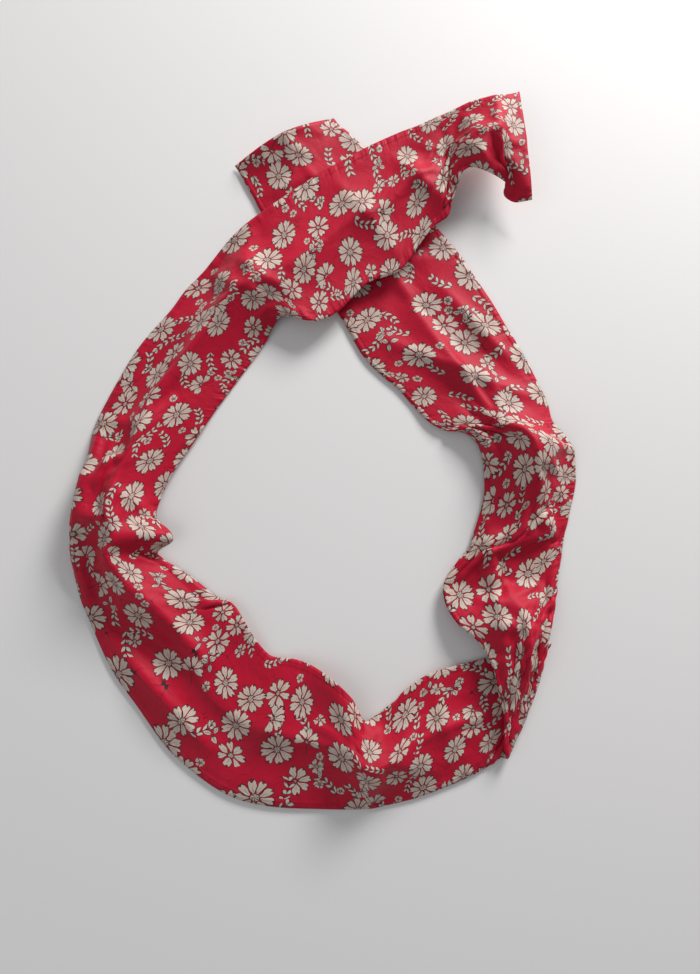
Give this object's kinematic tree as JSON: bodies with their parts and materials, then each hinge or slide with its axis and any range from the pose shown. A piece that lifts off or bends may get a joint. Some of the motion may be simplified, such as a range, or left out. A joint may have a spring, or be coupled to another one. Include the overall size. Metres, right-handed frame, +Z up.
{
  "type": "wired fabric headband",
  "caption": "Flat sewn cotton headband with a bendable coated steel wire inside, laid as an open loop with its two tails crossed.",
  "frame": {"origin": "middle of the footprint, at table height", "axes": "+Z up from the table, +Y towards the crossed tails, +X towards the side with the corner fold"},
  "size_m": [0.2351, 0.3292, 0.0257],
  "materials": {
    "cotton_print": "printed",
    "seam_thread": "matte",
    "steel_wire": "drawn",
    "wire_coat": "matte",
    "end_tape": "matte"
  },
  "bodies": {
    "loop": {"back_panel_loop": "cotton_print", "front_panel_loop": "cotton_print", "long_seam_a_loop": "seam_thread", "long_seam_b_loop": "seam_thread", "wire_coat_loop": "wire_coat", "wire_core_loop": "steel_wire"},
    "right_arm": {"back_panel_right_arm": "cotton_print", "front_panel_right_arm": "cotton_print", "long_seam_a_right_arm": "seam_thread", "long_seam_b_right_arm": "seam_thread", "wire_coat_right_arm": "wire_coat", "wire_core_right_arm": "steel_wire"},
    "tail_over": {"back_panel_tail_over": "cotton_print", "end_seam_tail_over": "seam_thread", "front_panel_tail_over": "cotton_print", "long_seam_a_tail_over": "seam_thread", "long_seam_b_tail_over": "seam_thread", "wire_coat_tail_over": "wire_coat", "wire_core_tail_over": "steel_wire", "wire_end_tape_tail_over": "end_tape"},
    "tail_under": {"back_panel_tail_under": "cotton_print", "end_seam_tail_under": "seam_thread", "front_panel_tail_under": "cotton_print", "long_seam_a_tail_under": "seam_thread", "long_seam_b_tail_under": "seam_thread", "wire_coat_tail_under": "wire_coat", "wire_core_tail_under": "steel_wire", "wire_end_tape_tail_under": "end_tape"}
  },
  "joints": [
    {"name": "loop_tighten", "type": "hinge", "parent": "loop", "child": "right_arm", "pos_m": [0.1, -0.091, 0], "axis": [0, 0, 1], "range_deg": [-4, 6]},
    {"name": "tail_over_bend", "type": "hinge", "parent": "loop", "child": "tail_over", "pos_m": [0.0565, 0.129, 0.0165], "axis": [0.4109, -0.9117, 0], "range_deg": [0, 75]},
    {"name": "tail_under_bend", "type": "hinge", "parent": "right_arm", "child": "tail_under", "pos_m": [-0.0095, 0.1287, 0.007], "axis": [0.8453, 0.5342, 0], "range_deg": [0, 75]}
  ]
}
